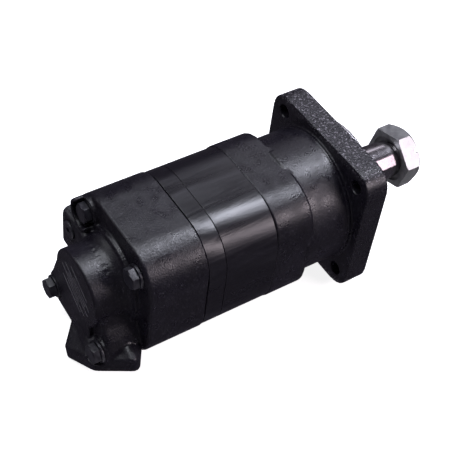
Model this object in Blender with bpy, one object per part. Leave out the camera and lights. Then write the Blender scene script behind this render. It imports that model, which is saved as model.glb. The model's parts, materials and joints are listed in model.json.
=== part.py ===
"""Disc-valve hydraulic motor with an orbiting gear set.

The X axis is the shaft axis, with +X out of the drive end, and +Z is up. The origin is on the shaft
axis, in the mounting face of the flange. Lengths below are in millimetres and angles in degrees.
"""

import math

import bmesh
import bpy
from mathutils import Matrix, Vector

MM = 0.001
GAP = 0.3

# Mounting flange and the stack behind it
FLANGE_SIDE = 150.0
FLANGE_CORNER = 20.0
FLANGE_THICK = 24.0
FLANGE_HOLE_D = 14.3
FLANGE_HOLE_PITCH = 114.5
PILOT_D = 127.0
PILOT_LENGTH = 12.7
NECK_D = 133.0
NECK_END = -70.0
HOUSING_END = -111.0
RING_END = -165.4
PLATE_END = -183.5
BODY_END = -242.2
CAST_HALF = 64.5
CAST_CORNER = 38.0
STACK_HALF = 65.2
STACK_CORNER = 42.5

# Tie bolts, on the diagonals of the body
BOLT_CIRCLE_R = 59.6
BOLT_D = 12.0
BOLT_HOLE_D = 13.0
BOLT_HEAD_AF = 18.3
BOLT_HEAD_HIGH = 6.8
BOLT_TURNS = (57.0, 21.0, 0.0, 5.0)
BOLT_TIP = -84.0
WASHER_D = 23.0
WASHER_THICK = 2.5
UPPER_SEAT = -242.9
LOWER_SEAT = -278.5
BOSS_R = 12.5

# Rear casting
RIM_R = 47.5
RIM_END = -247.0
NOSE_END = -280.0
NOSE_R = 37.6
NOSE_FLARE = 9.0
SKIRT = ((38, 0), (46, -22), (53, -36), (50, -50), (42, -54.5), (8, -58.5), (-25, -55), (-25, -20))
WEB = ((-20, -20), (-36.5, -5), (-42, -16), (-49.5, -27), (-54, -36), (-54.8, -44), (-51.5, -51),
       (-44, -55.5), (-25, -56))
WEB_END = -275.0
UPPER_BLOCK_X = (-220.0, -257.0)
UPPER_BLOCK_Z = (-22.0, 28.0)
UPPER_PAD = 69.5
UPPER_PORT_X = -237.0
LOWER_PAD = 76.0
LOWER_PAD_ANGLE = 245.0
LOWER_PORT_X = -270.0
FOOT = ((-250, -40), (-250, 24), (-296.4, 24), (-287.5, -18), (-258, -47.5))
SHELF = ((-243.5, -35), (-243.5, 24), (-296.4, 24), (-287.5, -18), (-258, -47.5))
FOOT_TOP = 63.5
FOOT_CORNER = 5.0
ROOT = ((-243, -24), (-243, 34), (-279.5, 34), (-279.5, 2), (-258, -26))
ROOT_TOP = 45.0
PORT_D = 24.5
PORT_DEEP = 20.0
PORT_SPOT_D = 36.0
PORT_SPOT_DEEP = 1.0
COLLAR_R = 15.8
COLLAR_END = -255.0
COLLAR_LOW = -246.0
COLLAR_OPEN_ANGLE = 140.0
COLLAR_OPEN = 3.0
DRAIN_Y = 56.0
DRAIN_Z = 10.0
DRAIN_HEAD_R = 9.0
DRAIN_POCKET_R = 11.5
DRAIN_POCKET_DEEP = 2.0
DRAIN_D = 12.0
DRAIN_DEEP = 7.0
DRAIN_HEAD_HIGH = 3.0
DRAIN_SOCKET_R = 3.4
SEAT_POCKET_D = 26.0

# Shaft
NOSE_D = 44.45
TAPER_START = 22.0
TAPER_END = 73.4
TAPER_RATIO = 8.0
THREAD_D = 31.75
SHAFT_TIP = 96.0
JOURNAL_D = 57.15
SHAFT_TAIL = -102.0
TAIL_BORE_END = -62.0
WEAR_PLATE_R = 48.0
WEAR_PLATE_FRONT = -104.5
NUT_BACK = 73.7
NUT_AF = 55.4
NUT_HIGH = 20.0
NUT_SLOT_WIDE = 5.0
NUT_SLOT_DEEP = 4.5
NUT_RECESS_R = 23.5
NUT_RECESS_DEEP = 3.0
NUT_SLOT_ANGLE = 133.3
NUT_TURN = 43.3
KEY_WIDE = 11.1
KEY_LONG = 38.0
KEY_HIGH = 11.1
KEY_START = 27.0
KEY_ANGLE = 135.0

# Tapered roller bearings, each (front face, rear face)
FRONT_BEARING = (-6.0, -30.0)
REAR_BEARING = (-48.0, -72.0)
CUP_R = 45.7
CUP_BORE_R = 40.0
CONE_R = 33.8
RACE_RISE = 3.0
LIP_R = 41.5
ROLLER_COUNT = 14
SHOULDER_R = 31.5
SEAL_BORE_R = 37.6

# Gear set: six lobes inside seven rolls
LOBES = 6
ROLLS = LOBES + 1
ROLL_R = 8.3
ROLL_CIRCLE_R = 40.0
RING_BORE_R = 38.6
OFFSET = 3.1
STAR_GAP = 0.35
POCKET_GAP = 0.3
ROLL_START = 90.0
FACE_GAP = 0.4

# Ports in the valve plate and windows in the disc valve
PLATE_BORE_D = 42.0
PLATE_PORT_CIRCLE_R = 32.5
WINDOW_CIRCLE_R = 27.0
WINDOW_D = 7.0

# Splines and drives
TEETH = 8
SPLINE_TIP_R = 15.6
SPLINE_ROOT_R = 12.6
SPLINE_GAP = 0.9
SPLINE_EASE = 0.04
LINK_FRONT = -72.0
LINK_REAR = -125.0
VALVE_FRONT = -151.0
VALVE_REAR = -196.0
SPACER_R = 12.0

# Disc valve and balance ring
VALVE_R = 37.0
VALVE_FRONT_FACE = -184.0
VALVE_BACK_FACE = -202.0
CHAMBER_R = 46.0
CHAMBER_END = -222.0
CHAMBER_STEP = -208.0
HUB_R = 25.5
WELL_R = 18.0
WELL_END = -228.0
PIN_CIRCLE_R = 34.0
SPRING_POCKET_D = 9.0
PIN_POCKET_D = 5.6
BALANCE_R = 42.0
SEAL_CIRCLE_R = 50.6
SEAL_SECTION_R = 0.75

ROUND = 28
SMALL_ROUND = 16
DRILL_ROUND = 12
NOSE_ROUND = 40


def material(name, color, roughness, metallic):
    made = bpy.data.materials.new(name)
    made.use_nodes = True
    shader = made.node_tree.nodes["Principled BSDF"]
    shader.inputs["Base Color"].default_value = (*color, 1.0)
    shader.inputs["Roughness"].default_value = roughness
    shader.inputs["Metallic"].default_value = metallic
    return made


def clear_scene():
    for thing in list(bpy.data.objects):
        bpy.data.objects.remove(thing)


def finish_mesh(name, mesh, mat):
    """Links a mesh as an object, turns its faces out and shades its round sides smooth."""
    work = bmesh.new()
    work.from_mesh(mesh)
    bmesh.ops.recalc_face_normals(work, faces=work.faces)
    work.to_mesh(mesh)
    work.free()
    mesh.shade_smooth()
    mesh.set_sharp_from_angle(angle=math.radians(35))
    thing = bpy.data.objects.new(name, mesh)
    bpy.context.scene.collection.objects.link(thing)
    if mat:
        mesh.materials.append(mat)
    return thing


def build(name, points, faces, mat):
    mesh = bpy.data.meshes.new(name)
    mesh.from_pydata([(x * MM, y * MM, z * MM) for x, y, z in points], [], faces)
    return finish_mesh(name, mesh, mat)


def loft(name, sections, mat=None):
    """Closed skin through outlines: each section is (x, [(y, z), ...]) with the same number of points."""
    count = len(sections[0][1])
    points = [(x, y, z) for x, outline in sections for y, z in outline]
    faces = []
    for ring in range(len(sections) - 1):
        for i in range(count):
            j = (i + 1) % count
            low, high = ring * count, (ring + 1) * count
            faces.append((low + i, low + j, high + j, high + i))
    faces.append(tuple(range(count)))
    faces.append(tuple(range((len(sections) - 1) * count, len(sections) * count)))
    return build(name, points, faces, mat)


def prism(name, outline, x0, x1, mat=None):
    return loft(name, [(x0, outline), (x1, outline)], mat)


def turned(name, profile, mat=None, steps=ROUND):
    """Ring or solid of revolution about X: profile is a closed loop of (x, r)."""
    points = []
    index = []
    for x, r in profile:
        if r == 0:
            index.append([len(points)] * steps)
            points.append((x, 0.0, 0.0))
            continue
        index.append([len(points) + i for i in range(steps)])
        for i in range(steps):
            turn = math.tau * i / steps
            points.append((x, r * math.cos(turn), r * math.sin(turn)))
    faces = []
    for k, here in enumerate(index):
        there = index[(k + 1) % len(index)]
        for i in range(steps):
            j = (i + 1) % steps
            corners = list(dict.fromkeys((here[i], here[j], there[j], there[i])))
            if len(corners) > 2:
                faces.append(tuple(corners))
    return build(name, points, faces, mat)


def circle(r, steps, y=0.0, z=0.0, start=0.0):
    turns = [math.radians(start) + math.tau * i / steps for i in range(steps)]
    return [(y + r * math.cos(t), z + r * math.sin(t)) for t in turns]


def rounded_square(half, corner, per_corner=6):
    outline = []
    for quarter in range(4):
        turn = math.radians(45 + 90 * quarter)
        away = (half - corner) * math.sqrt(2)
        cy, cz = away * math.cos(turn), away * math.sin(turn)
        for i in range(per_corner + 1):
            t = math.radians(90 * quarter + 90 * i / per_corner)
            outline.append((cy + corner * math.cos(t), cz + corner * math.sin(t)))
    return outline


def splined(root, tip, wider=0.0):
    """Outline of a spline: TEETH flat-topped teeth, widened by a share of the pitch at each flank."""
    outline = []
    for tooth in range(TEETH):
        foot, crest = 0.32 + wider, 0.17 + wider
        for r, share in ((root, -foot), (tip, -crest), (tip, crest), (root, foot)):
            t = math.tau * (tooth + share) / TEETH
            outline.append((r * math.cos(t), r * math.sin(t)))
    return outline


def spline_bore(name, x0, x1):
    """Cutter for a female spline, wide enough for a drive that tilts in it."""
    return prism(name, splined(SPLINE_ROOT_R + SPLINE_GAP, SPLINE_TIP_R + SPLINE_GAP, SPLINE_EASE), x0, x1)


def helper(thing):
    thing.hide_render = True
    thing.display_type = "WIRE"
    return thing


def boolean(thing, other, operation):
    made = thing.modifiers.new(operation.lower(), "BOOLEAN")
    made.operation = operation
    made.solver = "EXACT"
    made.object = helper(other)
    return thing


def cut(thing, other):
    return boolean(thing, other, "DIFFERENCE")


def join(thing, other):
    return boolean(thing, other, "UNION")


def drill(thing, name, d, x0, x1, y, z, steps=DRILL_ROUND):
    return cut(thing, prism(name, circle(d / 2, steps, y, z), x0, x1))


def bolt_places():
    """(number, y, z, seat) of the tie bolts, upper left first, seen from the rear."""
    places = []
    for number, degrees in enumerate((45, 135, 225, 315), 1):
        turn = math.radians(degrees)
        seat = UPPER_SEAT if degrees < 180 else LOWER_SEAT
        places.append((number, BOLT_CIRCLE_R * math.cos(turn), BOLT_CIRCLE_R * math.sin(turn), seat))
    return places


def drill_bolt_holes(thing, name, x0, x1, d=BOLT_HOLE_D):
    for number, y, z, _ in bolt_places():
        drill(thing, f"cut_{name}_{number}", d, x0, x1, y, z)


# Castings and plates


def bearing_housing():
    paint = material("housing_paint", (0.018, 0.017, 0.021), 0.45, 0.0)
    flange = rounded_square(FLANGE_SIDE / 2, FLANGE_CORNER)
    body = prism("bearing_housing", flange, -FLANGE_THICK, 0.0, paint)
    neck = NECK_D / 2
    pilot = PILOT_D / 2
    outer = [(NECK_END - 4, 0), (NECK_END - 4, neck), (2 - FLANGE_THICK, neck), (2 - FLANGE_THICK, pilot)]
    outer += [(PILOT_LENGTH - 1, pilot), (PILOT_LENGTH, pilot - 1), (PILOT_LENGTH, 0)]
    join(body, turned("add_neck", outer, steps=40))
    square = rounded_square(CAST_HALF, CAST_CORNER)
    small = rounded_square(CAST_HALF - 2.5, CAST_CORNER - 2.5)
    join(body, loft("add_square", [(HOUSING_END, square), (NECK_END - 2.5, square), (NECK_END, small)]))
    cup = CUP_R + GAP
    front_cup_rear = FRONT_BEARING[1] - GAP
    rear_cup_front = REAR_BEARING[0] + GAP
    bore = [(HOUSING_END - 1, 0), (HOUSING_END - 1, WEAR_PLATE_R + GAP)]
    bore += [(WEAR_PLATE_FRONT + GAP, WEAR_PLATE_R + GAP), (WEAR_PLATE_FRONT + GAP, cup)]
    bore += [(rear_cup_front, cup), (rear_cup_front, LIP_R), (front_cup_rear, LIP_R), (front_cup_rear, cup)]
    bore += [(FRONT_BEARING[0] + GAP, cup), (FRONT_BEARING[0] + GAP, SEAL_BORE_R)]
    bore += [(PILOT_LENGTH + 1, SEAL_BORE_R), (PILOT_LENGTH + 1, 0)]
    cut(body, turned("cut_bearing_bore", bore))
    cut(body, seal_groove("cut_housing_groove", HOUSING_END, 1))
    place = FLANGE_HOLE_PITCH / 2
    for number, (sy, sz) in enumerate(((1, 1), (-1, 1), (-1, -1), (1, -1)), 1):
        drill(body, f"cut_flange_hole_{number}", FLANGE_HOLE_D, -30.0, 1.0, sy * place, sz * place)
    drill_bolt_holes(body, "housing", HOUSING_END - 1, BOLT_TIP + 3)


def seal_groove(name, face, side):
    """Ring groove in the face at x = face, cut to the given side along X."""
    deep = 2 * SEAL_SECTION_R + 0.4
    low, high = SEAL_CIRCLE_R - 1.0, SEAL_CIRCLE_R + 1.0
    start = face - side
    end = face + side * deep
    return turned(name, [(start, low), (start, high), (end, high), (end, low)])


def seal_ring(name, x, r=SEAL_CIRCLE_R, section=SEAL_SECTION_R):
    rubber = material(name + "_rubber", (0.02, 0.02, 0.02), 0.6, 0.0)
    corners = ((1, 0), (0, 1), (-1, 0), (0, -1))
    turned(name, [(x + section * p, r + section * q) for p, q in corners], rubber)


def section_seals():
    inset = SEAL_SECTION_R + 0.3
    seal_ring("housing_seal_ring", HOUSING_END + inset)
    seal_ring("ring_seal_ring", RING_END - inset)
    seal_ring("valve_seal_ring", PLATE_END - inset)


def wear_plate():
    steel = material("plate_steel", (0.35, 0.35, 0.36), 0.35, 1.0)
    x0, x1, r = HOUSING_END, WEAR_PLATE_FRONT, 24.0
    turned("wear_plate", [(x0, r), (x0, WEAR_PLATE_R), (x1, WEAR_PLATE_R), (x1, r)], steel)


def ring_opening():
    """Bore of the gear ring with a pocket for each roll, as an outline."""
    pocket = ROLL_R + POCKET_GAP
    near = (RING_BORE_R**2 + ROLL_CIRCLE_R**2 - pocket**2) / (2 * RING_BORE_R * ROLL_CIRCLE_R)
    half = math.acos(near)
    sweep = math.atan2(RING_BORE_R * math.sin(half), RING_BORE_R * near - ROLL_CIRCLE_R)
    outline = []
    for roll in range(ROLLS):
        turn = math.radians(ROLL_START) + math.tau * roll / ROLLS
        cy, cz = ROLL_CIRCLE_R * math.cos(turn), ROLL_CIRCLE_R * math.sin(turn)
        for i in range(11):
            t = turn - sweep + 2 * sweep * i / 10
            outline.append((cy + pocket * math.cos(t), cz + pocket * math.sin(t)))
        middle = turn + math.pi / ROLLS
        outline.append((RING_BORE_R * math.cos(middle), RING_BORE_R * math.sin(middle)))
    return outline


def geroler_ring():
    paint = material("ring_paint", (0.015, 0.014, 0.018), 0.3, 0.0)
    shape = rounded_square(STACK_HALF, STACK_CORNER)
    body = prism("geroler_ring", shape, RING_END, HOUSING_END - GAP, paint)
    cut(body, prism("cut_ring_bore", ring_opening(), RING_END - 1, HOUSING_END + 1))
    drill_bolt_holes(body, "ring", RING_END - 1, HOUSING_END + 1)


def valve_plate():
    paint = material("valve_plate_paint", (0.015, 0.014, 0.018), 0.3, 0.0)
    shape = rounded_square(STACK_HALF, STACK_CORNER)
    body = prism("valve_plate", shape, PLATE_END, RING_END - GAP, paint)
    drill(body, "cut_plate_centre", PLATE_BORE_D, PLATE_END - 1, RING_END + 1, 0, 0)
    cut(body, seal_groove("cut_plate_groove", RING_END - GAP, -1))
    for port in range(ROLLS):
        turn = math.radians(ROLL_START) + math.tau * (port + 0.5) / ROLLS
        y, z = PLATE_PORT_CIRCLE_R * math.cos(turn), PLATE_PORT_CIRCLE_R * math.sin(turn)
        drill(body, f"cut_plate_port_{port + 1}", WINDOW_D, PLATE_END - 1, RING_END + 1, y, z, 8)
    drill_bolt_holes(body, "plate", PLATE_END - 1, RING_END + 1)


def nose():
    """Round rear nose that flares out into the rim, with a small rounded edge at its end face."""
    root = BODY_END + 1
    shape = [(root, 0), (root, NOSE_R + NOSE_FLARE)]
    for share in (0.0, 0.15, 0.35, 0.65, 1.0):
        shape.append((RIM_END + 1 - 11 * share, NOSE_R + 0.8 + (NOSE_FLARE - 1.5) * (1 - share) ** 2))
    shape += [(NOSE_END + 1.2, NOSE_R), (NOSE_END + 0.4, NOSE_R - 0.4), (NOSE_END, NOSE_R - 1.5)]
    shape += [(NOSE_END, 0)]
    return turned("add_nose", shape, steps=NOSE_ROUND)


def block_levels(name, levels, degrees):
    """Skin along the direction at this angle round X: each level is (distance, [(x, side), ...])."""
    turn = math.radians(degrees)
    out = Vector((0, math.cos(turn), math.sin(turn)))
    side = Vector((0, -math.sin(turn), math.cos(turn)))
    points = []
    for distance, outline in levels:
        points += [Vector((x, 0, 0)) + out * distance + side * s for x, s in outline]
    count = len(levels[0][1])
    faces = []
    for low in range(0, (len(levels) - 1) * count, count):
        for i in range(count):
            j = (i + 1) % count
            faces.append((low + i, low + j, low + count + j, low + count + i))
    faces += [tuple(range(count)), tuple(range(len(points) - count, len(points)))]
    return build(name, points, faces, None)


def turned_block(name, outline, near, far, degrees):
    return block_levels(name, [(near, outline), (far, outline)], degrees)


def softened(corners, radius, steps=3):
    """The outline with each corner replaced by a short arc-like run of points."""
    outline = []
    count = len(corners)
    for i, corner in enumerate(corners):
        here = Vector(corner)
        before = Vector(corners[i - 1]) - here
        after = Vector(corners[(i + 1) % count]) - here
        start = here + before.normalized() * radius
        end = here + after.normalized() * radius
        for k in range(steps + 1):
            share = k / steps
            point = start * (1 - share) ** 2 + here * 2 * share * (1 - share) + end * share**2
            outline.append(tuple(point))
    return outline


def port(body, name, x, degrees, pad):
    for part, d, deep in (("bore", PORT_D, PORT_DEEP), ("spot", PORT_SPOT_D, PORT_SPOT_DEEP)):
        outline = [(x + p, q) for p, q in circle(d / 2, 20)]
        cut(body, turned_block(f"cut_{name}_{part}", outline, pad - deep, pad + 2, degrees))


def skirt():
    """Web under the nose that ties the lower right boss and the lower port block to it."""
    return loft("add_skirt", eased_ends(SKIRT, NOSE_END))


def lower_web():
    """Web between the nose and the lower left boss."""
    return loft("add_web", eased_ends(WEB, WEB_END))


def eased_ends(outline, end):
    """Sections of an arm from the body to this end, a little smaller at its last millimetre."""
    inset = [(y * 0.985, z * 0.985) for y, z in outline]
    return [(BODY_END + 1, outline), (end + 1, outline), (end, inset)]


def upper_block():
    x0, x1 = UPPER_BLOCK_X
    z0, z1 = UPPER_BLOCK_Z
    outline = softened([(x0, z0), (x0, z1), (x1, z1), (x1, z0)], 8.0)
    return turned_block("add_upper_block", outline, 30.0, UPPER_PAD, 0.0)


def collar_opening(y, z):
    """Cutter that opens the collar round the first bolt on its upper inner side."""
    turn = math.radians(COLLAR_OPEN_ANGLE)
    near = y * math.cos(turn) + z * math.sin(turn) + COLLAR_OPEN
    middle = z * math.cos(turn) - y * math.sin(turn)
    half = COLLAR_R + 2
    outline = [(COLLAR_LOW, middle - half), (COLLAR_LOW, middle + half)]
    outline += [(COLLAR_END - 9, middle + half), (COLLAR_END - 9, middle - half)]
    return turned_block("cut_collar_opening", outline, near, near + 2 * half, COLLAR_OPEN_ANGLE)


def lower_block():
    """Foot plate of the lower port on a root that leans back to the nose."""
    root, shelf, foot = (softened(corners, FOOT_CORNER) for corners in (ROOT, SHELF, FOOT))
    edge = [(x * 0.9975, side * 0.98) for x, side in foot]
    levels = [(20.0, root), (ROOT_TOP, root), (FOOT_TOP, shelf), (LOWER_PAD - 1, foot), (LOWER_PAD, edge)]
    return block_levels("add_lower_block", levels, LOWER_PAD_ANGLE)


def valve_chamber(front):
    """Stepped chamber for the disc valve and the balance ring, with a well for the valve drive's end."""
    shape = [(front + 1, 0), (front + 1, CHAMBER_R), (CHAMBER_STEP, CHAMBER_R)]
    shape += [(CHAMBER_STEP, BALANCE_R + GAP), (CHAMBER_END, BALANCE_R + GAP)]
    shape += [(CHAMBER_END, HUB_R), (CHAMBER_STEP, HUB_R)]
    shape += [(CHAMBER_STEP, WELL_R), (WELL_END, WELL_R), (WELL_END, 0)]
    return turned("cut_chamber", shape)


def valve_housing():
    paint = material("valve_housing_paint", (0.018, 0.017, 0.021), 0.5, 0.0)
    square = rounded_square(CAST_HALF, CAST_CORNER)
    small = rounded_square(CAST_HALF - 1.5, CAST_CORNER - 1.5)
    front = PLATE_END - GAP
    sections = [(BODY_END, small), (BODY_END + 1.5, square), (front, square)]
    body = loft("valve_housing", sections, paint)
    x0 = BODY_END + 1
    rim = [(x0, 0), (x0, RIM_R), (RIM_END + 0.8, RIM_R), (RIM_END, RIM_R - 0.8), (RIM_END, 0)]
    join(body, turned("add_rim", rim, steps=NOSE_ROUND))
    join(body, nose())
    join(body, skirt())
    join(body, lower_web())
    for number, y, z, seat in bolt_places():
        join(body, prism(f"add_boss_{number}", circle(BOSS_R, SMALL_ROUND, y, z), seat, BODY_END + 3))
    _, y, z, _ = bolt_places()[0]
    join(body, prism("add_collar", circle(COLLAR_R, 24, y, z), COLLAR_END, BODY_END + 3))
    join(body, upper_block())
    join(body, lower_block())
    cut(body, collar_opening(y, z))
    cut(body, valve_chamber(front))
    cut(body, seal_groove("cut_valve_groove", front, -1))
    above = CHAMBER_END + 1
    for number, place in enumerate((PIN_CIRCLE_R, -PIN_CIRCLE_R), 1):
        deep = CHAMBER_END - 10
        drill(body, f"cut_spring_pocket_{number}", SPRING_POCKET_D, deep, above, 0, place, SMALL_ROUND)
        deep = CHAMBER_END - 8
        drill(body, f"cut_pin_pocket_{number}", PIN_POCKET_D, deep, above, place, 0, SMALL_ROUND)
    port(body, "upper_port", UPPER_PORT_X, 0.0, UPPER_PAD)
    port(body, "lower_port", LOWER_PORT_X, LOWER_PAD_ANGLE, LOWER_PAD)
    rear = UPPER_BLOCK_X[1]
    pocket = rear + DRAIN_POCKET_DEEP
    drill(body, "cut_drain_pocket", 2 * DRAIN_POCKET_R, rear - 1, pocket, DRAIN_Y, DRAIN_Z, SMALL_ROUND)
    drill(body, "cut_drain", DRAIN_D + 2 * GAP, rear, pocket + DRAIN_DEEP + 1, DRAIN_Y, DRAIN_Z)
    for number, y, z, seat in bolt_places():
        drill(body, f"cut_body_bolt_{number}", BOLT_HOLE_D, seat - 1, front + 1, y, z)
        drill(body, f"cut_seat_{number}", SEAT_POCKET_D, seat - 30, seat, y, z, SMALL_ROUND)


def drain_plug():
    steel = material("plug_steel", (0.05, 0.05, 0.055), 0.4, 0.8)
    seat = UPPER_BLOCK_X[1] + DRAIN_POCKET_DEEP - GAP
    top = seat - DRAIN_HEAD_HIGH
    shank = circle(DRAIN_D / 2, SMALL_ROUND)
    head = circle(DRAIN_HEAD_R, SMALL_ROUND)
    crown = circle(DRAIN_HEAD_R - 0.6, SMALL_ROUND)
    sections = [(seat + DRAIN_DEEP, shank), (seat, shank), (seat, head), (top + 0.6, head), (top, crown)]
    plug = loft("drain_plug", sections, steel)
    plug.location = (0, DRAIN_Y * MM, DRAIN_Z * MM)
    cut(plug, prism("cut_drain_socket", circle(DRAIN_SOCKET_R, 6, DRAIN_Y, DRAIN_Z), top - 1, top + 5))


# Fasteners


def hexagon(across_flats, degrees):
    """Hexagon with a point at the middle of each side, the first corner at this angle."""
    outline = []
    for i in range(12):
        r = across_flats / math.sqrt(3) if i % 2 == 0 else across_flats / 2
        t = math.radians(degrees + 30 * i)
        outline.append((r * math.cos(t), r * math.sin(t)))
    return outline


def tie_bolts():
    steel = material("bolt_black", (0.03, 0.03, 0.035), 0.4, 0.9)
    for number, y, z, seat in bolt_places():
        turn = BOLT_TURNS[number - 1]
        head = hexagon(BOLT_HEAD_AF, turn)
        crown = circle(BOLT_HEAD_AF * 0.485, 12, start=turn)
        shank = circle(BOLT_D / 2, 12, start=turn)
        under = seat - WASHER_THICK - 2 * GAP
        top = under - BOLT_HEAD_HIGH
        sections = [(top, crown), (top + 0.9, head), (under, head), (under, shank)]
        bolt = loft(f"tie_bolt_{number}", sections + [(BOLT_TIP, shank)], steel)
        bolt.location = (0, y * MM, z * MM)
        low = seat - GAP
        high = low - WASHER_THICK
        hole = BOLT_D / 2 + GAP
        edge = WASHER_D / 2
        ring = [(high, hole), (high, edge - 0.4), (high + 0.4, edge), (low, edge), (low, hole)]
        washer = turned(f"bolt_washer_{number}", ring, steel, SMALL_ROUND)
        washer.location = (0, y * MM, z * MM)


# Shaft and what turns with it


def taper_r(x):
    return NOSE_D / 2 - (x - TAPER_START) / TAPER_RATIO / 2


def key_block(name, wide, below, above, x0, x1, mat=None):
    """Bar along the taper, at KEY_ANGLE round the shaft, from below to above its surface."""
    turn = math.radians(KEY_ANGLE)
    out = Vector((0, math.cos(turn), math.sin(turn)))
    side = Vector((0, -math.sin(turn), math.cos(turn)))
    sections = []
    for x in (x0, x1):
        r = taper_r(x)
        ends = ((r - below, -1), (r - below, 1), (r + above, 1), (r + above, -1))
        ring = [out * q + side * (s * wide / 2) for q, s in ends]
        sections.append((x, [(p.y, p.z) for p in ring]))
    return loft(name, sections, mat)


def output_shaft():
    steel = material("shaft_steel", (0.62, 0.61, 0.62), 0.16, 1.0)
    journal = JOURNAL_D / 2
    thread = THREAD_D / 2
    collar = SHOULDER_R
    shape = [(SHAFT_TAIL, 0), (SHAFT_TAIL, journal - 1), (SHAFT_TAIL + 1, journal)]
    shape += [(REAR_BEARING[0] + GAP, journal), (REAR_BEARING[0] + GAP, collar)]
    shape += [(FRONT_BEARING[1] - GAP, collar), (FRONT_BEARING[1] - GAP, journal)]
    shape += [(14.0, journal), (15.0, journal - 1), (15.0, taper_r(TAPER_START) + 2)]
    shape += [(17.0, taper_r(TAPER_START)), (TAPER_START, taper_r(TAPER_START))]
    shape += [(TAPER_END, taper_r(TAPER_END))]
    shape += [(TAPER_END, thread), (SHAFT_TIP - 1.5, thread), (SHAFT_TIP, thread - 1.5), (SHAFT_TIP, 0)]
    shaft = turned("output_shaft", shape, steel)
    cut(shaft, key_block("cut_keyway", KEY_WIDE + 2 * GAP, KEY_HIGH / 2 + GAP, 12.0, *key_span(GAP)))
    cut(shaft, spline_bore("cut_shaft_spline", SHAFT_TAIL - 1, TAIL_BORE_END))


def key_span(extra=0.0):
    return KEY_START - extra, KEY_START + KEY_LONG + extra


def shaft_key():
    steel = material("key_steel", (0.45, 0.45, 0.46), 0.3, 1.0)
    key_block("shaft_key", KEY_WIDE, KEY_HIGH / 2, KEY_HIGH / 2, *key_span(), steel)


def shaft_nut():
    zinc = material("nut_zinc", (0.7, 0.7, 0.71), 0.28, 1.0)
    corner = NUT_AF / math.sqrt(3)
    nut = prism("shaft_nut", circle(corner, 6, start=NUT_TURN), NUT_BACK, NUT_BACK + NUT_HIGH, zinc)
    flat = NUT_AF / 2
    front = NUT_BACK + NUT_HIGH + 0.5
    shape = [(NUT_BACK - 0.5, 0), (NUT_BACK - 0.5, flat + 2.2), (NUT_BACK + 2.0, corner + 1.0)]
    shape += [(front - 7.0, corner + 1.0), (front, flat - 1.5), (front, 0)]
    boolean(nut, turned("keep_nut_round", shape), "INTERSECT")
    drill(nut, "cut_nut_thread", THREAD_D + 2 * GAP, NUT_BACK - 1, front + 1, 0, 0, 32)
    drill(nut, "cut_nut_recess", 2 * NUT_RECESS_R, NUT_BACK - 1, NUT_BACK + NUT_RECESS_DEEP, 0, 0, 32)
    half = NUT_SLOT_WIDE / 2
    top = NUT_BACK + NUT_HIGH
    bottom = top - NUT_SLOT_DEEP
    slot = [(top + 2, -half), (top + 2, half), (bottom, half), (bottom, -half)]
    cut(nut, turned_block("cut_nut_slot", slot, -40.0, 40.0, NUT_SLOT_ANGLE))


# Seals and bearings


def shaft_seals():
    rubber = material("shaft_seal_rubber", (0.02, 0.02, 0.022), 0.55, 0.0)
    lip = JOURNAL_D / 2 + GAP
    outer = SEAL_BORE_R - GAP
    shape = [(-1.0, outer - 3), (-1.0, outer), (5.0, outer), (5.0, lip + 2), (2.5, lip), (1.5, lip + 1.5)]
    turned("shaft_seal", shape + [(3.5, lip + 4), (3.5, outer - 3)], rubber)
    dust = material("dust_seal_rubber", (0.03, 0.03, 0.032), 0.5, 0.0)
    shape = [(6.0, lip + 1), (6.0, outer), (11.5, outer), (11.5, lip + 3), (13.0, lip)]
    turned("dust_seal", shape, dust)


def bearing(name, front, rear, big_front):
    """Cup, cone and roller set; the raceways rise towards the front face or the rear face."""
    steel = material(name + "_steel", (0.6, 0.6, 0.61), 0.2, 1.0)
    rise_front, rise_rear = (RACE_RISE, 0.0) if big_front else (0.0, RACE_RISE)
    cup = [(rear, CUP_BORE_R + rise_rear), (rear, CUP_R), (front, CUP_R), (front, CUP_BORE_R + rise_front)]
    turned(f"{name}_bearing_cup", cup, steel)
    bore = JOURNAL_D / 2 + GAP
    cone = [(rear, bore), (rear, CONE_R + rise_rear), (front, CONE_R + rise_front), (front, bore)]
    turned(f"{name}_bearing_cone", cone, steel)
    middle = (CONE_R + CUP_BORE_R) / 2
    roller = (CUP_BORE_R - CONE_R) / 2 - GAP
    slope = (rise_front - rise_rear) / (front - rear)
    end = 2.5
    sections = [(rear + end, middle + rise_rear + slope * end)]
    sections += [(front - end, middle + rise_front - slope * end)]
    roller_set(f"{name}_roller_set", sections, roller, steel)


def roller_set(name, sections, roller, mat):
    """Rollers held in their cage, as one ring."""
    cage = 0.9
    points = []
    faces = []
    for x, middle in sections:
        outer = []
        inner = []
        for k in range(ROLLER_COUNT):
            turn = math.tau * k / ROLLER_COUNT
            for local in (25, 65, 115, 155):
                t = math.radians(local)
                along = -roller * math.cos(t) / middle
                outer.append((middle + roller * math.sin(t), turn + along))
                inner.append((middle - roller * math.sin(t), turn + along))
            gap = turn + math.pi / ROLLER_COUNT
            outer.append((middle + cage, gap))
            inner.append((middle - cage, gap))
        for r, t in outer + inner:
            points.append((x, r * math.cos(t), r * math.sin(t)))
    count = ROLLER_COUNT * 5
    for i in range(count):
        j = (i + 1) % count
        a, b = 0, 2 * count
        faces.append((a + i, a + j, b + j, b + i))
        faces.append((a + count + j, a + count + i, b + count + i, b + count + j))
        faces.append((a + j, a + i, a + count + i, a + count + j))
        faces.append((b + i, b + j, b + count + j, b + count + i))
    build(name, points, faces, mat)


def bearings():
    bearing("front", *FRONT_BEARING, big_front=True)
    bearing("rear", *REAR_BEARING, big_front=False)
    steel = material("snap_ring_steel", (0.3, 0.3, 0.31), 0.35, 1.0)
    x0 = REAR_BEARING[1] - GAP
    r = JOURNAL_D / 2 + GAP
    ring = [(x0 - 2.5, r), (x0 - 2.5, r + 4), (x0, r + 4), (x0, r)]
    turned("bearing_snap_ring", ring, steel)


# Gear set and drives


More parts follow.
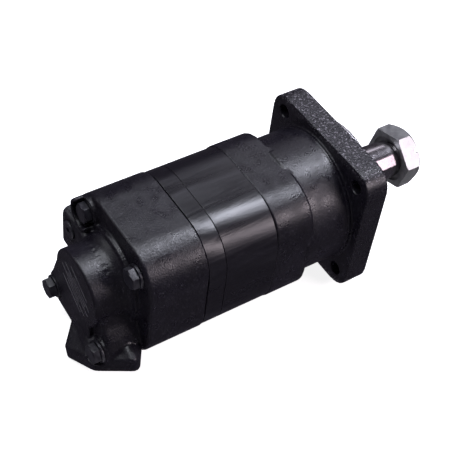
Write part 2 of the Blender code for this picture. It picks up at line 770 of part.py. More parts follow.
def star_outline(per_lobe=12, crowding=0.55):
    """Inner gear: the path of a roll's centre round the gear, moved inwards by the roll's radius.

    The points crowd towards the valleys, where the surface runs fastest.
    """
    phase = ROLLS * math.radians(ROLL_START)
    inset = ROLL_R + STAR_GAP
    outline = []
    for i in range(LOBES * per_lobe):
        share = math.tau * i / per_lobe
        t = (phase + share - crowding * math.sin(share)) / LOBES
        y = ROLL_CIRCLE_R * math.cos(t) - OFFSET * math.cos(ROLLS * t - phase)
        z = ROLL_CIRCLE_R * math.sin(t) - OFFSET * math.sin(ROLLS * t - phase)
        dy = -ROLL_CIRCLE_R * math.sin(t) + ROLLS * OFFSET * math.sin(ROLLS * t - phase)
        dz = ROLL_CIRCLE_R * math.cos(t) - ROLLS * OFFSET * math.cos(ROLLS * t - phase)
        size = math.hypot(dy, dz)
        outline.append((y - inset * dz / size, z + inset * dy / size))
    return outline


def geroler_star():
    steel = material("star_steel", (0.5, 0.5, 0.52), 0.25, 1.0)
    x0, x1 = RING_END + FACE_GAP, HOUSING_END - FACE_GAP
    star = prism("geroler_star", star_outline(), x0, x1, steel)
    star.location = (0, OFFSET * MM, 0)
    cutter = spline_bore("cut_star_spline", x0 - 1, x1 + 1)
    cutter.location = (0, OFFSET * MM, 0)
    cut(star, cutter)


def geroler_rolls():
    steel = material("roll_steel", (0.6, 0.6, 0.62), 0.18, 1.0)
    for roll in range(ROLLS):
        turn = math.radians(ROLL_START) + math.tau * roll / ROLLS
        x0, x1 = RING_END + FACE_GAP, HOUSING_END - FACE_GAP
        thing = prism(f"geroler_roll_{roll + 1}", circle(ROLL_R, 20), x0, x1, steel)
        thing.location = (0, ROLL_CIRCLE_R * math.cos(turn) * MM, ROLL_CIRCLE_R * math.sin(turn) * MM)


def tilted_drive(name, front, rear, front_y, rear_y, mat):
    """Splined drive shaft on the line between two centres, with its origin at the front centre."""
    length = math.hypot(front - rear, rear_y - front_y)
    reach = 6.0
    tooth = splined(SPLINE_ROOT_R, SPLINE_TIP_R)
    neck = splined(SPLINE_ROOT_R - 2.0, SPLINE_ROOT_R - 1.6)
    small = splined(SPLINE_ROOT_R - 2.0, SPLINE_ROOT_R)
    sections = [(-length - reach, small), (-length - reach + 2, tooth), (-length + reach, tooth)]
    sections += [(-length + reach + 3, neck), (-reach - 3, neck), (-reach, tooth)]
    sections += [(reach - 2, tooth), (reach, small)]
    drive = loft(name, sections, mat)
    tilt = math.atan2(rear_y - front_y, front - rear)
    drive.matrix_world = Matrix.Translation((front * MM, front_y * MM, 0)) @ Matrix.Rotation(-tilt, 4, "Z")


def drives():
    steel = material("drive_steel", (0.42, 0.42, 0.43), 0.3, 1.0)
    tilted_drive("drive_link", LINK_FRONT, LINK_REAR, 0.0, OFFSET, steel)
    tilted_drive("valve_drive", VALVE_FRONT, VALVE_REAR, OFFSET, 0.0, steel)
    x = (LINK_REAR + VALVE_FRONT) / 2
    edge = SPACER_R - 0.8
    shape = [(x - 3, 0), (x - 3, edge), (x - 2.2, SPACER_R), (x + 2.2, SPACER_R), (x + 3, edge), (x + 3, 0)]
    spacer = turned("drive_spacer", shape, steel, SMALL_ROUND)
    spacer.location = (0, OFFSET * MM, 0)


def disc_valve():
    steel = material("valve_steel", (0.5, 0.5, 0.5), 0.25, 1.0)
    outline = []
    for port_number in range(LOBES):
        for r, share in ((VALVE_R, -0.30), (VALVE_R - 6, -0.28), (VALVE_R - 6, -0.12), (VALVE_R, -0.10)):
            t = math.tau * (port_number + share) / LOBES
            outline.append((r * math.cos(t), r * math.sin(t)))
        for share in (0.05, 0.2, 0.35, 0.5, 0.62):
            t = math.tau * (port_number + share) / LOBES
            outline.append((VALVE_R * math.cos(t), VALVE_R * math.sin(t)))
    body = prism("disc_valve", outline, VALVE_BACK_FACE, VALVE_FRONT_FACE, steel)
    cut(body, spline_bore("cut_valve_spline", VALVE_BACK_FACE - 1, VALVE_FRONT_FACE + 1))
    for hole in range(LOBES):
        t = math.tau * (hole + 0.3) / LOBES
        y, z = WINDOW_CIRCLE_R * math.cos(t), WINDOW_CIRCLE_R * math.sin(t)
        x0, x1 = VALVE_BACK_FACE - 1, VALVE_FRONT_FACE + 1
        drill(body, f"cut_valve_window_{hole + 1}", WINDOW_D, x0, x1, y, z, 8)


# Balance ring behind the disc valve


def balance_ring():
    steel = material("balance_steel", (0.45, 0.45, 0.46), 0.3, 1.0)
    front = VALVE_BACK_FACE - FACE_GAP
    rear = -218.0
    shape = [(front, 26.0), (front, 44.5), (-206.5, 44.5), (-206.5, BALANCE_R), (-210.0, BALANCE_R)]
    shape += [(-210.0, BALANCE_R - 3), (-213.5, BALANCE_R - 3), (-213.5, BALANCE_R), (rear, BALANCE_R)]
    shape += [(rear, 26.0), (-215.5, 26.0), (-215.5, 29.0), (-212.0, 29.0), (-212.0, 26.0)]
    body = turned("balance_ring", shape, steel)
    for number, y in enumerate((PIN_CIRCLE_R, -PIN_CIRCLE_R), 1):
        drill(body, f"cut_balance_pin_{number}", 5.6, rear - 1, rear + 5.0, y, 0, 16)
    seal_ring("balance_ring_outer_seal", -211.75, BALANCE_R - 1.45, 1.25)
    seal_ring("balance_ring_inner_seal", -213.75, 27.3, 1.25)
    for number, y in enumerate((PIN_CIRCLE_R, -PIN_CIRCLE_R), 1):
        pin = prism(f"balance_pin_{number}", circle(2.5, 16), CHAMBER_END - 7.5, rear + 4.5, steel)
        pin.location = (0, y * MM, 0)
        spring(f"balance_spring_{number}", y, CHAMBER_END - 9.4, rear - GAP - 0.3)


def spring(name, z, x0, x1):
    wire = material("spring_wire", (0.4, 0.4, 0.4), 0.3, 1.0)
    turns, per_turn, wire_r, coil_r, sides = 4, 10, 0.55, 3.2, 4
    count = turns * per_turn
    points = []
    for i in range(count + 1):
        t = math.tau * i / per_turn
        x = x0 + wire_r + (x1 - x0 - 2 * wire_r) * i / count
        for k in range(sides):
            s = math.tau * k / sides
            r = coil_r + wire_r * math.cos(s)
            points.append((x + wire_r * math.sin(s), r * math.cos(t), r * math.sin(t)))
    faces = []
    for i in range(count):
        for k in range(sides):
            j = (k + 1) % sides
            low, high = i * sides, (i + 1) * sides
            faces.append((low + k, low + j, high + j, high + k))
    faces += [tuple(range(sides)), tuple(range(count * sides, (count + 1) * sides))]
    coil = build(name, points, faces, wire)
    coil.location = (0, 0, z * MM)


def main():
    clear_scene()
    bearing_housing()
    section_seals()
    wear_plate()
    geroler_ring()
    valve_plate()
    valve_housing()
    drain_plug()
    tie_bolts()
    output_shaft()
    shaft_key()
    shaft_nut()
    shaft_seals()
    bearings()
    geroler_star()
    geroler_rolls()
    drives()
    disc_valve()
    balance_ring()


main()
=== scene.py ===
"""Visual model of a disc-valve hydraulic motor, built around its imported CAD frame.

The frame's axes hold here: +X out of the drive end along the shaft, +Z up, metres.
"""

import json
import math

import bmesh
import bpy
import numpy as np
from mathutils import Matrix, Vector


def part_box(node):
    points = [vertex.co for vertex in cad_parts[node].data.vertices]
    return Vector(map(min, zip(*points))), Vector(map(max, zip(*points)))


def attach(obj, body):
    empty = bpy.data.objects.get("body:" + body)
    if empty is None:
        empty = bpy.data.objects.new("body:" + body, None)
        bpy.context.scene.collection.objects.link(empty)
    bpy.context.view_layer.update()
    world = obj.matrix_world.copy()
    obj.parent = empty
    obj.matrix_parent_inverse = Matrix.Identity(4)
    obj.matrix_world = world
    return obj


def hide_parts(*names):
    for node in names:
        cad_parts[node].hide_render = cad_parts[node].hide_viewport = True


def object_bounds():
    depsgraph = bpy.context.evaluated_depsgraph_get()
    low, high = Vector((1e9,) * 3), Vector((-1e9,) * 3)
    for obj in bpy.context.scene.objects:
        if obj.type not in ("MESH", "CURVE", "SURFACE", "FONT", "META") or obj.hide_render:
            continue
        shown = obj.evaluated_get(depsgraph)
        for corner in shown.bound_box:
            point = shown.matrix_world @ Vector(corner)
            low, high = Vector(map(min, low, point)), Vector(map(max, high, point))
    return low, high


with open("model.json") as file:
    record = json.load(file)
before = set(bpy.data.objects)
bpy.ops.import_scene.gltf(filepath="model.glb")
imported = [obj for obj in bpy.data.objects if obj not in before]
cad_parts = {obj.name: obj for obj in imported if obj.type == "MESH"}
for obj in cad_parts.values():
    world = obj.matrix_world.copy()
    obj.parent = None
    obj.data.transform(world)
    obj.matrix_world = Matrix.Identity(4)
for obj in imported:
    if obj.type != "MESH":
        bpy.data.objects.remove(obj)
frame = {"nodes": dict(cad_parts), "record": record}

cad_low, cad_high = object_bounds()
NODES = frame["nodes"]
MM = 0.001

# Camera fitted to the object
CAMERA_AT = (-0.5591, -0.5447, 0.7680)
CAMERA_RIGHT = (0.8350, -0.5418, 0.0960)
CAMERA_UP = (0.3521, 0.6602, 0.6635)
CAMERA_LENS = 86.5

# Sections of the body: (front, rear, half side, corner radius) in millimetres
FLANGE = (0.0, -24.0, 75.0, 20.0)
FRONT_SQUARE = (-70.0, -111.0, 64.5, 38.0)
REAR_SQUARE = (-183.8, -242.2, 64.5, 38.0)
NECK = (-24.0, -70.0, 66.5)
PILOT = (0.0, 12.7, 63.5)
NOSE = (-258.0, -280.0, 37.6)
RIM = (-242.0, -247.0, 47.5)

# How far a remeshed point may lie from a true curve and still be moved onto it, in millimetres
SQUARE_REACH = 0.8
ROUND_REACH = 0.6
WELD_MM = 0.01

# Shaft and nut, in millimetres, and turns round X in degrees
SHAFT_FRONT = 96.0
JOURNAL_R = 28.575
COLLAR_R = 31.5
THREAD_R = 15.875
THREAD_PITCH = 2.0
THREAD_SLOPE = 1.1
KEYWAY_HALF = 5.85
KEYWAY_DEEP = 6.6
KEY_TURN = 135.0
NUT_BACK = 73.7
NUT_HIGH = 20.0
NUT_FLATS = 55.4
NUT_TURN = 43.3
NUT_SLOT_TURN = 133.3
MARK_TURN = 33.0

# Colours of the paints
BLACK = (0.0042, 0.0035, 0.0062)
GLOSS_BLACK = (0.0038, 0.0032, 0.0056)
GLOSS_RUN = (0.009, 0.008, 0.0125)
SPECK = (0.05, 0.045, 0.06)
WORN = (0.045, 0.04, 0.055)
# Colour of the painted highlight: glints painted onto the flange's top and bottom sides
PAINTED_GLINT_GREY = (0.30, 0.28, 0.32)


# Shader helpers


class Shader:
    """Small builder for a Principled material in the frame's own coordinates."""

    def __init__(self, name):
        self.mat = bpy.data.materials.new(name)
        self.mat.use_nodes = True
        self.tree = self.mat.node_tree
        self.out = self.tree.nodes["Principled BSDF"]
        self.place = self.node("ShaderNodeTexCoord").outputs["Object"]

    def node(self, kind, **inputs):
        made = self.tree.nodes.new(kind)
        for key, value in inputs.items():
            self.feed(made.inputs[key.replace("_", " ")], value)
        return made

    def feed(self, socket, value):
        if isinstance(value, bpy.types.NodeSocket):
            self.tree.links.new(value, socket)
        else:
            socket.default_value = value

    def set(self, **inputs):
        for key, value in inputs.items():
            self.feed(self.out.inputs[key.replace("_", " ")], value)

    def math(self, operation, a, b=0.0, clamp=False):
        made = self.tree.nodes.new("ShaderNodeMath")
        made.operation = operation
        made.use_clamp = clamp
        self.feed(made.inputs[0], a)
        self.feed(made.inputs[1], b)
        return made.outputs[0]

    def stretched(self, scale):
        made = self.node("ShaderNodeMapping", Vector=self.place, Scale=scale)
        return made.outputs["Vector"]

    def noise(self, scale, detail=3.0, rough=0.55, place=None, warp=0.0):
        made = self.node("ShaderNodeTexNoise", Vector=place or self.place, Scale=scale)
        made.inputs["Detail"].default_value = detail
        made.inputs["Roughness"].default_value = rough
        made.inputs["Distortion"].default_value = warp
        return made.outputs["Fac"]

    def ramp(self, value, low, high, start=0.0, end=1.0):
        made = self.node("ShaderNodeMapRange", Value=value)
        made.interpolation_type = "SMOOTHSTEP"
        limits = {"From Min": low, "From Max": high, "To Min": start, "To Max": end}
        for key, number in limits.items():
            made.inputs[key].default_value = number
        return made.outputs["Result"]

    def blend(self, share, first, second):
        made = self.tree.nodes.new("ShaderNodeMix")
        made.data_type = "RGBA"
        self.feed(made.inputs[0], share)
        for index, color in ((6, first), (7, second)):
            is_socket = isinstance(color, bpy.types.NodeSocket)
            self.feed(made.inputs[index], color if is_socket else (*color, 1.0))
        return made.outputs[2]

    def mix(self, share, first, second):
        made = self.tree.nodes.new("ShaderNodeMix")
        self.feed(made.inputs[0], share)
        self.feed(made.inputs[2], first)
        self.feed(made.inputs[3], second)
        return made.outputs[0]

    def vector_mix(self, share, first, second):
        made = self.tree.nodes.new("ShaderNodeMix")
        made.data_type = "VECTOR"
        self.feed(made.inputs[0], share)
        self.feed(made.inputs[4], first)
        self.feed(made.inputs[5], second)
        return made.outputs[1]

    def bump(self, height, depth_mm, strength=1.0, under=None):
        made = self.node("ShaderNodeBump", Height=height, Distance=depth_mm * MM, Strength=strength)
        if under:
            self.feed(made.inputs["Normal"], under)
        return made.outputs["Normal"]

    def axis(self, letter):
        return self.node("ShaderNodeSeparateXYZ", Vector=self.place).outputs[letter]

    def edges(self, low, high):
        """One on convex edges, fading to zero on flats."""
        return self.ramp(self.node("ShaderNodeNewGeometry").outputs["Pointiness"], low, high)


def cast_paint(name, grain_mm, tint=BLACK, rough=0.33, pilot=False):
    """Satin black paint over sand-cast iron; with pilot set, also painted glint highlights on the flange's
    top and bottom sides.
    """
    s = Shader(name)
    patch = s.noise(28.0, 4.0)
    color = s.blend(s.ramp(patch, 0.35, 0.7), tint, tuple(c * 1.45 for c in tint))
    speck = s.ramp(s.noise(640.0, 2.0), 0.60, 0.70)
    color = s.blend(s.math("MULTIPLY", speck, 0.55), color, SPECK)
    wear = s.math("MULTIPLY", s.edges(0.53, 0.60), s.ramp(s.noise(160.0), 0.35, 0.65))
    color = s.blend(s.math("MULTIPLY", wear, 0.5), color, WORN)
    roughness = s.ramp(s.noise(75.0, 5.0), 0.3, 0.7, rough - 0.08, rough + 0.1)
    grain = s.noise(700.0, 2.0, 0.6)
    normal = s.bump(grain, grain_mm)
    metal = 0.0
    if pilot:
        high = s.math("ABSOLUTE", s.axis("Z"))
        sides = s.ramp(s.math("MAXIMUM", s.math("ABSOLUTE", s.axis("Y")), high), 0.0722, 0.0740)
        pits = s.noise(480.0, 2.0, 0.6)
        normal = s.vector_mix(sides, normal, s.bump(pits, 0.75))
        roughness = s.mix(sides, roughness, s.ramp(pits, 0.45, 0.62, 0.5, 0.2))
        # Painted highlight: light grey glint spots painted into the colour, only on the flange's top and
        # bottom sides, standing in for lamp sparkle
        painted_sparkle = s.ramp(s.noise(620.0, 1.0), 0.60, 0.68)
        painted_glint = s.math("MULTIPLY", s.ramp(high, 0.066, 0.073), painted_sparkle)
        color = s.blend(s.math("MULTIPLY", painted_glint, 0.6), color, PAINTED_GLINT_GREY)
        x = s.axis("X")
        bare = s.ramp(x, 0.0003, 0.0006)
        rings = s.noise(60.0, 2.0, place=s.stretched((40.0, 1.0, 1.0)))
        color = s.blend(bare, color, s.blend(rings, (0.42, 0.41, 0.43), (0.66, 0.65, 0.67)))
        roughness = s.mix(bare, roughness, s.ramp(rings, 0.2, 0.8, 0.22, 0.38))
        metal = bare
    s.set(Base_Color=color, Roughness=roughness, Normal=normal, Metallic=metal)
    s.set(Specular_IOR_Level=0.5)
    return s.mat


def gloss_paint(name):
    """Glossier black paint over ground steel, with long runs and fine scratches along the axis."""
    s = Shader(name)
    runs = s.noise(70.0, 4.0, 0.6, s.stretched((0.12, 1.0, 1.0)), 0.4)
    color = s.blend(s.ramp(runs, 0.45, 0.75), GLOSS_BLACK, GLOSS_RUN)
    scratch = s.ramp(s.noise(1300.0, 1.0, 0.5, s.stretched((0.03, 1.0, 1.0))), 0.68, 0.76)
    color = s.blend(s.math("MULTIPLY", scratch, 0.3), color, (0.06, 0.055, 0.07))
    wear = s.math("MULTIPLY", s.edges(0.54, 0.62), s.ramp(s.noise(140.0), 0.4, 0.6))
    color = s.blend(s.math("MULTIPLY", wear, 0.5), color, WORN)
    roughness = s.ramp(runs, 0.3, 0.75, 0.26, 0.42)
    normal = s.bump(runs, 0.5, 1.0)
    normal = s.bump(s.noise(520.0, 3.0), 0.035, 1.0, normal)
    normal = s.bump(s.ramp(s.noise(120.0, 2.0), 0.66, 0.72), 0.06, 0.6, normal)
    s.set(Base_Color=color, Roughness=roughness, Normal=normal, Specular_IOR_Level=0.6)
    return s.mat


def black_fastener(name):
    s = Shader(name)
    grime = s.noise(240.0, 4.0)
    wear = s.math("MULTIPLY", s.edges(0.52, 0.62), s.ramp(grime, 0.3, 0.6))
    color = s.blend(s.ramp(grime, 0.3, 0.7), (0.007, 0.0065, 0.010), (0.016, 0.015, 0.021))
    color = s.blend(s.math("MULTIPLY", wear, 0.6), color, (0.14, 0.135, 0.15))
    normal = s.bump(s.noise(700.0, 3.0), 0.05)
    s.set(Base_Color=color, Roughness=s.ramp(grime, 0.3, 0.7, 0.28, 0.42), Normal=normal)
    s.set(Specular_IOR_Level=0.45)
    return s.mat


def turned_steel(name, dark, light, rough):
    """Ground or turned steel with fine lines round the axis."""
    s = Shader(name)
    lines = s.noise(130.0, 3.0, 0.6, s.stretched((22.0, 1.0, 1.0)))
    stain = s.noise(55.0, 4.0)
    color = s.blend(lines, dark, light)
    color = s.blend(s.ramp(stain, 0.55, 0.8, 0.0, 0.35), color, tuple(c * 0.7 for c in dark))
    roughness = s.ramp(lines, 0.3, 0.7, rough, rough + 0.12)
    normal = s.bump(lines, 0.012)
    s.set(Base_Color=color, Metallic=1.0, Roughness=roughness, Normal=normal)
    return s.mat


def zinc(name):
    s = Shader(name)
    spangle = s.noise(190.0, 5.0, 0.6)
    color = s.blend(s.ramp(spangle, 0.3, 0.7), (0.30, 0.305, 0.315), (0.44, 0.445, 0.45))
    dings = s.ramp(s.noise(330.0, 2.0), 0.64, 0.72)
    color = s.blend(s.math("MULTIPLY", dings, 0.4), color, (0.35, 0.35, 0.37))
    normal = s.bump(s.noise(420.0, 3.0), 0.03)
    normal = s.bump(dings, 0.05, 0.5, normal)
    s.set(Base_Color=color, Metallic=0.85, Roughness=s.ramp(spangle, 0.3, 0.7, 0.3, 0.44), Normal=normal)
    return s.mat


def rubber(name):
    s = Shader(name)
    bloom = s.noise(90.0, 4.0)
    color = s.blend(bloom, (0.008, 0.008, 0.009), (0.022, 0.022, 0.024))
    s.set(Base_Color=color, Roughness=s.ramp(bloom, 0.3, 0.7, 0.5, 0.68), Normal=s.bump(s.noise(900.0), 0.03))
    return s.mat


# Mesh helpers


def mesh_object(name, mesh, mat, body="housing"):
    thing = bpy.data.objects.new(name, mesh)
    bpy.context.scene.collection.objects.link(thing)
    mesh.materials.clear()
    mesh.materials.append(mat)
    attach(thing, body)
    return thing


def applied(thing):
    """The object's mesh with its modifiers applied, as a new mesh."""
    bpy.context.view_layer.update()
    graph = bpy.context.evaluated_depsgraph_get()
    return bpy.data.meshes.new_from_object(thing.evaluated_get(graph))


def discard(*things):
    for thing in things:
        bpy.data.objects.remove(thing)


def scratch(mesh):
    thing = bpy.data.objects.new("scratch", mesh)
    bpy.context.scene.collection.objects.link(thing)
    return thing


def smooth(mesh, degrees=None):
    mesh.shade_smooth()
    if degrees:
        mesh.set_sharp_from_angle(angle=math.radians(degrees))
    return mesh


def revolved(profile, steps=128, ripple=None):
    """Closed ring or solid from a loop of (x, r) in millimetres; ripple(x, turn) is added to r."""
    points, faces, rows = [], [], []
    for x, r in profile:
        if r == 0:
            rows.append([len(points)] * steps)
            points.append((x * MM, 0, 0))
            continue
        rows.append(list(range(len(points), len(points) + steps)))
        for i in range(steps):
            turn = math.tau * i / steps
            reach = (r + (ripple(x, turn) if ripple else 0)) * MM
            points.append((x * MM, reach * math.cos(turn), reach * math.sin(turn)))
    for k, here in enumerate(rows):
        there = rows[(k + 1) % len(rows)]
        for i in range(steps):
            j = (i + 1) % steps
            corners = list(dict.fromkeys((here[i], here[j], there[j], there[i])))
            if len(corners) > 2:
                faces.append(corners)
    return closed(points, faces)


def closed(points, faces):
    mesh = bpy.data.meshes.new("made")
    mesh.from_pydata(points, [], faces)
    work = bmesh.new()
    work.from_mesh(mesh)
    bmesh.ops.recalc_face_normals(work, faces=work.faces)
    work.to_mesh(mesh)
    work.free()
    return mesh


def block(outline, turn_degrees, near, far):
    """Prism along the direction at this angle round X; outline is [(x, side), ...] in millimetres."""
    turn = math.radians(turn_degrees)
    out = Vector((0, math.cos(turn), math.sin(turn)))
    side = Vector((0, -math.sin(turn), math.cos(turn)))
    count = len(outline)
    points = [(Vector((x, 0, 0)) + out * d + side * s) * MM for d in (near, far) for x, s in outline]
    faces = [(i, (i + 1) % count, count + (i + 1) % count, count + i) for i in range(count)]
    faces += [tuple(range(count)), tuple(range(count, 2 * count))]
    return closed(points, faces)


def boolean(thing, mesh, operation="DIFFERENCE"):
    other = scratch(mesh)
    made = thing.modifiers.new("shape", "BOOLEAN")
    made.operation = operation
    made.solver = "EXACT"
    made.object = other
    mesh = applied(thing)
    discard(thing, other)
    return scratch(mesh)


def rounded_edges(thing, width_mm, segments=2, degrees=30):
    """Weld, bevel and weighted normals, as modifiers only."""
    weld = thing.modifiers.new("weld", "WELD")
    weld.merge_threshold = WELD_MM * MM
    bevel = thing.modifiers.new("bevel", "BEVEL")
    bevel.width = width_mm * MM
    bevel.segments = segments
    bevel.limit_method = "ANGLE"
    bevel.angle_limit = math.radians(degrees)
    bevel.harden_normals = False
    normals = thing.modifiers.new("normals", "WEIGHTED_NORMAL")
    normals.keep_sharp = False
    return thing


def to_square(points, half, corner, reach):
    """Points near a rounded square's outline, in y and z, moved exactly onto it."""
    yz = points[:, 1:]
    inner = half - corner
    q = np.abs(yz) - inner
    outside = np.maximum(q, 0)
    length = np.linalg.norm(outside, axis=1)
    distance = length + np.minimum(q.max(axis=1), 0) - corner
    toward = np.where(length[:, None] > 1e-9, outside / np.maximum(length, 1e-9)[:, None], 0)
    flat = length < 1e-9
    toward[flat, q[flat].argmax(axis=1)] = 1
    near = np.abs(distance) < reach
    yz[near] -= (toward * np.sign(yz) * distance[:, None])[near]


def to_round(points, radius, reach):
    """Points near a round surface moved onto it; radius is a number or a function of x."""
    r = np.linalg.norm(points[:, 1:], axis=1)
    target = radius(points[:, 0]) if callable(radius) else np.full(len(r), radius)
    near = np.abs(r - target) < reach
    points[near, 1:] *= (target / r)[near, None]


def nose_flare(x):
    share = np.clip((-246.0 - x) / 11, 0, 1)
    return 38.4 + 7.5 * (1 - share) ** 2


def within(points, x0, x1):
    low, high = sorted((x0, x1))
    return (points[:, 0] > low) & (points[:, 0] < high)


def casting(node, name, mat, squares, rounds, voxel_mm=1.0, soften=3):
    """A fine remesh of a cast node, with its true curves put back and its edges softened."""
    source = scratch(NODES[node].data.copy())
    weld = source.modifiers.new("weld", "WELD")
    weld.merge_threshold = WELD_MM * MM
    remesh = source.modifiers.new("remesh", "REMESH")
    remesh.mode = "VOXEL"
    remesh.voxel_size = voxel_mm * MM
    mesh = applied(source)
    discard(source)
    count = len(mesh.vertices)
    points = np.empty(count * 3)
    mesh.vertices.foreach_get("co", points)
    points = points.reshape(-1, 3) / MM
    for x0, x1, half, corner in squares:
        part = within(points, x0, x1)
        moved = points[part]
        to_square(moved, half, corner, SQUARE_REACH)
        points[part] = moved
    for x0, x1, radius in rounds:
        part = within(points, x0, x1)
        moved = points[part]
        to_round(moved, radius, ROUND_REACH)
        points[part] = moved
    points = relaxed(mesh, points, soften)
    low, high = (np.array(corner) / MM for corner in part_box(node))
    points = np.clip(points, low, high)
    mesh.vertices.foreach_set("co", (points * MM).ravel())
    mesh.update()
    made = mesh_object(name, smooth(mesh), mat)
    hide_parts(node)
    return made


def relaxed(mesh, points, rounds):
    """Each point moved halfway to its neighbours' mean, a few times over."""
    ends = np.empty(len(mesh.edges) * 2, np.int64)
    mesh.edges.foreach_get("vertices", ends)
    a, b = ends.reshape(-1, 2).T
    count = np.bincount(ends, minlength=len(points))[:, None]
    for _ in range(rounds):
        total = np.zeros_like(points)
        for axis in range(3):
            total[:, axis] += np.bincount(a, points[b, axis], len(points))
            total[:, axis] += np.bincount(b, points[a, axis], len(points))
        points = (points + total / np.maximum(count, 1)) / 2
    return points


# Pieces


def castings():
    paint = cast_paint("front_casting_paint", 0.3, pilot=True)
    squares = [FLANGE, FRONT_SQUARE]
    rounds = [NECK, PILOT]
    casting("bearing_housing", "bearing_housing_casting", paint, squares, rounds)
    rounds = [NOSE, RIM, (-247.2, -258.0, nose_flare)]
    paint = cast_paint("rear_casting_paint", 0.3)
    casting("valve_housing", "valve_housing_casting", paint, [REAR_SQUARE], rounds)


def neck_bead():
    """Paint bead and crease where the neck meets the flange's back."""
    r = NECK[2]
    shape = [(-24.05, r - 1.5), (-24.05, r + 0.5), (-25.0, r + 0.1), (-26.2, r + 0.05), (-27.0, r + 0.5)]
    shape += [(-27.8, r + 0.8), (-28.6, r + 0.5), (-29.2, r + 0.05), (-29.8, r - 0.5), (-29.8, r - 1.5)]
    mat = cast_paint("bead_paint", 0.06, rough=0.3)
    mesh_object("neck_bead", smooth(revolved(shape, 160), 60), mat)


def stack():
    paint = gloss_paint("stack_paint")
    for node in ("geroler_ring", "valve_plate"):
        dress(node, paint, 0.5)


def dress(node, mat, bevel_mm=0.0, segments=2):
    """Gives a kept CAD node its material and, if asked, rounded edges."""
    thing = NODES[node]
    thing.data.materials.clear()
    thing.data.materials.append(mat)
    if bevel_mm:
        rounded_edges(thing, bevel_mm, segments)
    return thing


def fasteners():
    mat = black_fastener("fastener_paint")
    for number in range(1, 5):
        dress(f"tie_bolt_{number}", mat, 0.4)
        dress(f"bolt_washer_{number}", mat, 0.35)
    dress("drain_plug", mat, 0.4)


def taper(x):
    return 22.225 - (x - 22.0) / 16


def thread(x, turn):
    """Height of the screw thread at this place, in millimetres; zero off the thread."""
    if x < 74 or x > 95:
        return 0.0
    phase = (x / THREAD_PITCH - turn / math.tau) % 1
    return -THREAD_SLOPE * abs(phase - 0.5)


def shaft():
    steel = turned_steel("shaft_steel", (0.36, 0.34, 0.36), (0.58, 0.55, 0.57), 0.15)
    journal, thread_r = JOURNAL_R, THREAD_R
    shape = [(-102.0, 0), (-102.0, journal - 1), (-101.0, journal), (-47.7, journal), (-47.7, COLLAR_R)]
    shape += [(-30.3, COLLAR_R), (-30.3, journal), (13.6, journal)]
    shape += [(14.7, journal - 0.5), (15.0, journal - 1.2)]
    shape += [(15.0, taper(22) + 2), (15.5, taper(22) + 0.8), (17.0, taper(22))]
    shape += [(x, taper(x)) for x in (22, 30, 45, 60, 72.8)]
    shape += [(73.4, taper(73.4) - 0.5), (73.4, thread_r)]
    shape += [(74 + 0.25 * i, thread_r) for i in range(82)]
    shape += [(95.0, thread_r - 0.6), (SHAFT_FRONT, thread_r - 1.6), (SHAFT_FRONT, 3.0), (93.5, 0)]
    body = scratch(revolved(shape, 96, thread))
    half = KEYWAY_HALF
    way = [(65.3, -half), (65.3, half)]
    way += [(30.5 - half * math.sin(t), half * math.cos(t)) for t in np.linspace(0, math.pi, 17)]
    body = boolean(body, block(way, KEY_TURN, taper(45) - KEYWAY_DEEP, 40))
    body = boolean(body, spline_bore(-103, -62))
    made = mesh_object("output_shaft_turned", smooth(body.data, 28), steel, "shaft")
    discard(body)
    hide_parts("output_shaft")
    key = turned_steel("key_steel", (0.40, 0.34, 0.37), (0.55, 0.48, 0.51), 0.24)
    dress("shaft_key", key, 0.7, 3)


def spline_bore(x0, x1):
    outline = []
    for tooth in range(8):
        for r, share in ((13.5, -0.36), (16.5, -0.21), (16.5, 0.21), (13.5, 0.36)):
            t = math.tau * (tooth + share) / 8
            outline.append((r * math.cos(t), r * math.sin(t)))
    points = [(x * MM, y * MM, z * MM) for x in (x0, x1) for y, z in outline]
    count = len(outline)
    faces = [(i, (i + 1) % count, count + (i + 1) % count, count + i) for i in range(count)]
    return closed(points, faces + [tuple(range(count)), tuple(range(count, 2 * count))])


def nut():
    back, flats = NUT_BACK, NUT_FLATS
    corner = flats / math.sqrt(3)
    front = back + NUT_HIGH
    turns = np.radians(NUT_TURN) + np.arange(6) * math.tau / 6
    hexagon = [(corner * math.cos(t), corner * math.sin(t)) for t in turns]
    points = [(x * MM, y * MM, z * MM) for x in (back, front) for y, z in hexagon]
    faces = [(i, (i + 1) % 6, 6 + (i + 1) % 6, 6 + i) for i in range(6)]
    faces += [tuple(range(6)), tuple(range(6, 12))]
    body = scratch(closed(points, faces))
    shape = [(back - 0.5, 0), (back - 0.5, flats / 2 + 2.2), (back + 2, corner + 1)]
    shape += [(front - 6.5, corner + 1), (front + 0.5, flats / 2 - 1.5), (front + 0.5, 0)]
    body = boolean(body, revolved(shape, 128), "INTERSECT")
    hole = [(back - 1, 0), (back - 1, 23.5), (back + 3, 23.5), (back + 3, 17.4), (back + 4.2, 16.2)]
    hole += [(front - 1.2, 16.2), (front + 1, 18.4), (front + 1, 0)]
    body = boolean(body, revolved(hole, 96))
    slot = [(front + 2, -2.5), (front + 2, 2.5), (front - 4.5, 2.5), (front - 4.5, -2.5)]
    body = boolean(body, block(slot, NUT_SLOT_TURN, -40, 40))
    plating = zinc("nut_zinc")
    made = mesh_object("shaft_nut_finished", smooth(body.data, 28), plating, "shaft")
    discard(body)
    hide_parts("shaft_nut")
    rounded_edges(made, 0.35)


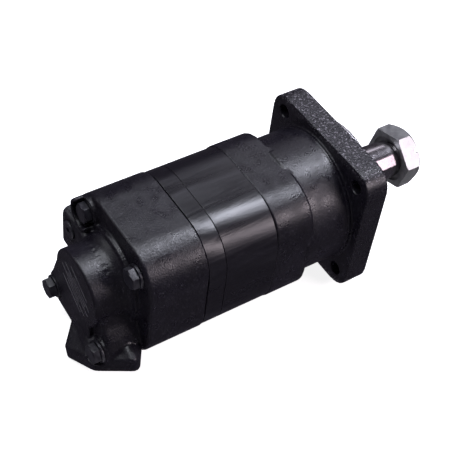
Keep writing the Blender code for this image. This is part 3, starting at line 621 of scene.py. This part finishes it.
def rear_marks():
    """Blank raised lines on the nose's end face, where a maker would cast a plate of text."""
    mat = cast_paint("mark_paint", 0.03, (0.10, 0.095, 0.105), 0.36)
    rows = ((-15, -20, 18), (-9, -25, 12), (-4.5, -12, 27), (0, -27, 16))
    rows += ((4.5, -18, 25), (9, -24, 9), (15, -16, 19))
    points, faces = [], []
    turn = math.radians(MARK_TURN)
    along = Vector((0, math.cos(turn), math.sin(turn)))
    across = Vector((0, -math.sin(turn), math.cos(turn)))
    for side, start, end in rows:
        base = len(points)
        for x, wide in ((-279.8, 0.45), (-280.25, 0.25)):
            for a, b in ((start, -wide), (end, -wide), (end, wide), (start, wide)):
                points.append((Vector((x, 0, 0)) + along * a + across * (side + b)) * MM)
        faces += [[base + i for i in quad] for quad in ((0, 1, 2, 3), (4, 5, 6, 7))]
        faces += [[base + i, base + (i + 1) % 4, base + 4 + (i + 1) % 4, base + 4 + i] for i in range(4)]
    mesh_object("nose_blank_lines", closed(points, faces), mat)


def inner_pieces():
    bearing = turned_steel("bearing_steel", (0.50, 0.50, 0.51), (0.68, 0.68, 0.69), 0.18)
    inner = turned_steel("inner_steel", (0.40, 0.40, 0.41), (0.56, 0.56, 0.57), 0.26)
    black = rubber("nitrile_rubber")
    finish = {"bearing_steel": bearing, "inner_steel": inner, "rubber": black}
    for part in frame["record"]["subparts"]:
        slot = part["material_slot"]
        if slot in finish and part["node"] in NODES:
            dress(part["node"], finish[slot])


# Floor, light and camera


def stage_floor():
    mesh = bpy.data.meshes.new("floor")
    reach, z = 6.0, cad_low.z - 0.0005
    corners = [(-reach, -reach, z), (reach, -reach, z), (reach, reach, z), (-reach, reach, z)]
    mesh.from_pydata(corners, [], [(0, 1, 2, 3)])
    floor = bpy.data.objects.new("floor", mesh)
    bpy.context.scene.collection.objects.link(floor)
    s = Shader("floor_white")
    s.set(Base_Color=(0.93, 0.93, 0.935, 1.0), Roughness=0.9, Specular_IOR_Level=0.1)
    s.set(Emission_Color=(1.0, 1.0, 1.0, 1.0), Emission_Strength=0.85)
    floor.visible_glossy = False
    mesh.materials.append(s.mat)


def area_light(name, at, target, size, watts, color=(1.0, 1.0, 1.0)):
    light = bpy.data.lights.new(name, "AREA")
    light.shape = "RECTANGLE"
    light.size, light.size_y = size
    light.energy = watts
    light.color = color
    thing = bpy.data.objects.new(name, light)
    bpy.context.scene.collection.objects.link(thing)
    thing.location = at
    toward = Vector(target) - Vector(at)
    thing.rotation_euler = toward.to_track_quat("-Z", "Y").to_euler()


def lights():
    middle = (-0.1, 0.0, 0.0)
    area_light("overhead_softbox", (-0.35, 0.35, 1.6), middle, (1.3, 0.9), 18.0, (0.90, 0.93, 1.0))
    area_light("key_softbox", (0.57, 0.02, 1.42), middle, (0.55, 0.4), 17.0, (0.86, 0.88, 1.0))
    area_light("back_softbox", (1.0, 1.2, 1.1), middle, (0.6, 0.6), 1.8, (0.93, 0.90, 1.0))
    area_light("left_softbox", (-1.5, 0.9, 0.9), middle, (0.9, 0.9), 4.0, (0.92, 0.94, 1.0))
    area_light("right_softbox", (0.75, -1.2, 0.85), middle, (0.7, 0.5), 11.0, (1.0, 0.88, 0.95))
    world = bpy.data.worlds.new("studio")
    world.use_nodes = True
    ground = world.node_tree.nodes["Background"]
    ground.inputs["Color"].default_value = (0.88, 0.80, 1.0, 1.0)
    ground.inputs["Strength"].default_value = 0.06
    bpy.context.scene.world = world
    bpy.context.scene.view_settings.view_transform = "Standard"


def camera():
    right = Vector(CAMERA_RIGHT).normalized()
    up = Vector(CAMERA_UP)
    up = (up - right * up.dot(right)).normalized()
    back = right.cross(up)
    lens = bpy.data.cameras.new("camera")
    lens.lens = CAMERA_LENS
    lens.sensor_width = 36.0
    lens.clip_start, lens.clip_end = 0.01, 100.0
    thing = bpy.data.objects.new("camera", lens)
    bpy.context.scene.collection.objects.link(thing)
    place = Matrix((right, up, back)).transposed().to_4x4()
    place.translation = Vector(CAMERA_AT)
    thing.matrix_world = place
    bpy.context.scene.camera = thing


castings()
neck_bead()
stack()
fasteners()
shaft()
nut()
rear_marks()
inner_pieces()
stage_floor()
lights()
camera()
